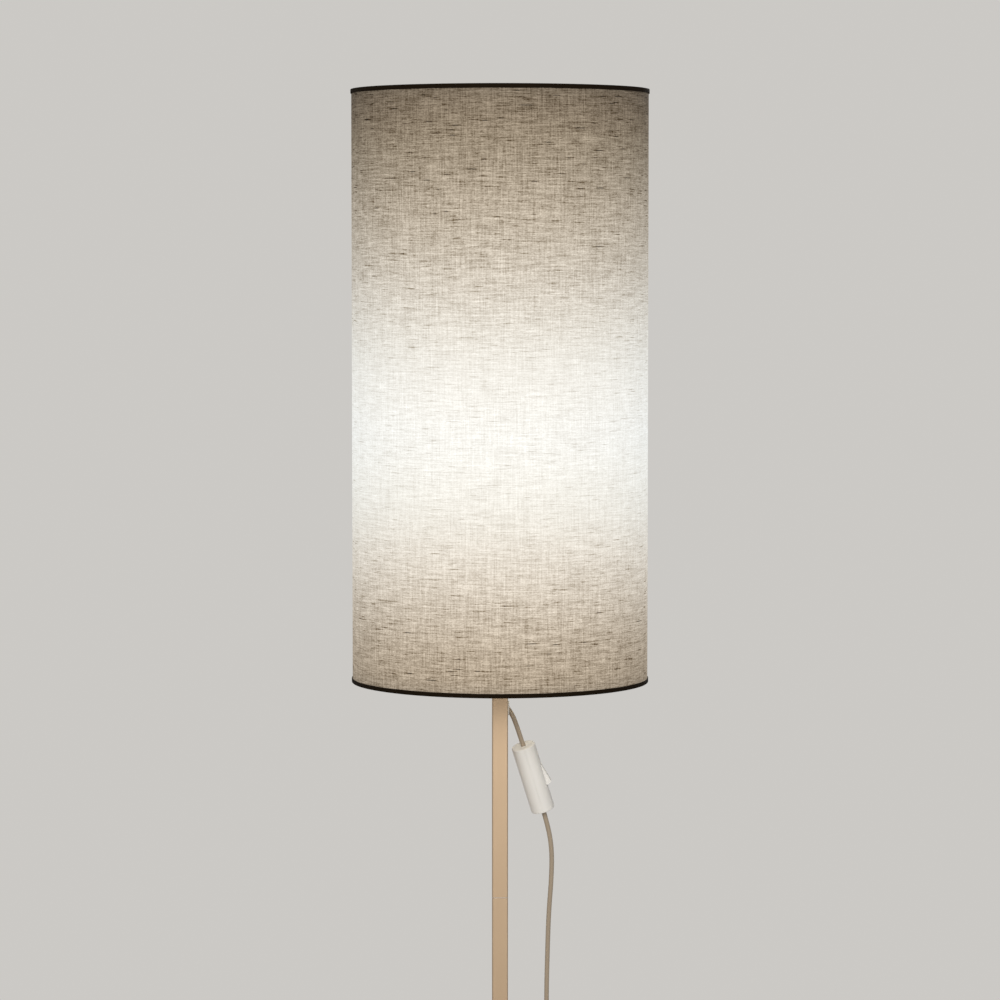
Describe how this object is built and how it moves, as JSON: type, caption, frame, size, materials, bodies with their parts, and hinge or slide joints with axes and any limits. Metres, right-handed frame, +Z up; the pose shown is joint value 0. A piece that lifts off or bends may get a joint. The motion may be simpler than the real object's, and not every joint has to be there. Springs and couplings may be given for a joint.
{
  "type": "column floor lamp",
  "caption": "Floor lamp with a tall drum shade of natural linen on a slim square pole, a round base and an in-line rocker switch on its cord.",
  "frame": {"origin": "on the floor, at the centre of the base's underside", "axes": "+Z up along the pole, -Y to the front; the cord leaves the pole towards +X"},
  "size_m": [0.3579, 0.364, 1.4096],
  "materials": {
    "champagne_finish": "satin",
    "zinc_steel": "satin",
    "brass": "satin",
    "pad": "matte",
    "white_plastic": "satin",
    "holder_plastic": "satin",
    "plated_steel": "polished",
    "frame_white": "satin",
    "liner_film": "matte",
    "linen": "natural linen, slubby",
    "trim_brown": "matte",
    "opal": "frosted",
    "bulb_white": "satin",
    "bulb_insulation": "polished",
    "solder": "satin",
    "cord_sheath": "satin",
    "core_insulation": "satin",
    "tie_black": "matte"
  },
  "bodies": {
    "lamp": {"base_plate": "champagne_finish", "lower_tube": "champagne_finish", "upper_tube": "champagne_finish", "pole_top_plug": "champagne_finish", "base_bolt": "zinc_steel", "base_washer": "zinc_steel", "pole_foot_insert": "zinc_steel", "pole_coupler": "zinc_steel", "coupler_screws": "zinc_steel", "threaded_nipple": "zinc_steel", "nipple_lock_nut": "zinc_steel", "terminal_screws": "zinc_steel", "switch_shell_screws": "zinc_steel", "rocker_pin": "zinc_steel", "contact_screws": "zinc_steel", "centre_contact": "brass", "side_contact": "brass", "fixed_contacts": "brass", "plug_pins": "brass", "base_pad": "pad", "cord_bushing": "white_plastic", "switch_left_half": "white_plastic", "switch_right_half": "white_plastic", "lampholder_cap": "holder_plastic", "lampholder_skirt": "holder_plastic", "lampholder_insert": "holder_plastic", "shade_ring_nut": "holder_plastic", "lampholder_thread_shell": "plated_steel", "shade_frame": "frame_white", "shade_top_ring": "frame_white", "shade_liner": "liner_film", "shade_linen": "linen", "shade_bottom_trim": "trim_brown", "shade_top_trim": "trim_brown", "cord_inside": "cord_sheath", "cord_upper": "cord_sheath", "cord_lower": "cord_sheath", "cord_coil": "cord_sheath", "cord_tail": "cord_sheath", "plug_body": "cord_sheath", "core_wires": "core_insulation", "cord_tie": "tie_black"},
    "rocker": {"switch_rocker": "white_plastic", "contact_bridge": "brass"},
    "bulb": {"bulb_globe": "opal", "bulb_body": "bulb_white", "bulb_cap": "plated_steel", "bulb_insulator": "bulb_insulation", "bulb_contact": "solder"}
  },
  "joints": [
    {"name": "rocker_tilt", "type": "hinge", "parent": "lamp", "child": "rocker", "pos_m": [0.04821, 0.01799, 0.59436], "axis": [-0.068, 0.972, 0.2251], "range_deg": [0, 27]},
    {"name": "bulb_lift", "type": "slide", "parent": "lamp", "child": "bulb", "axis": [0, 0, 1], "range_m": [0, 0.49]}
  ]
}
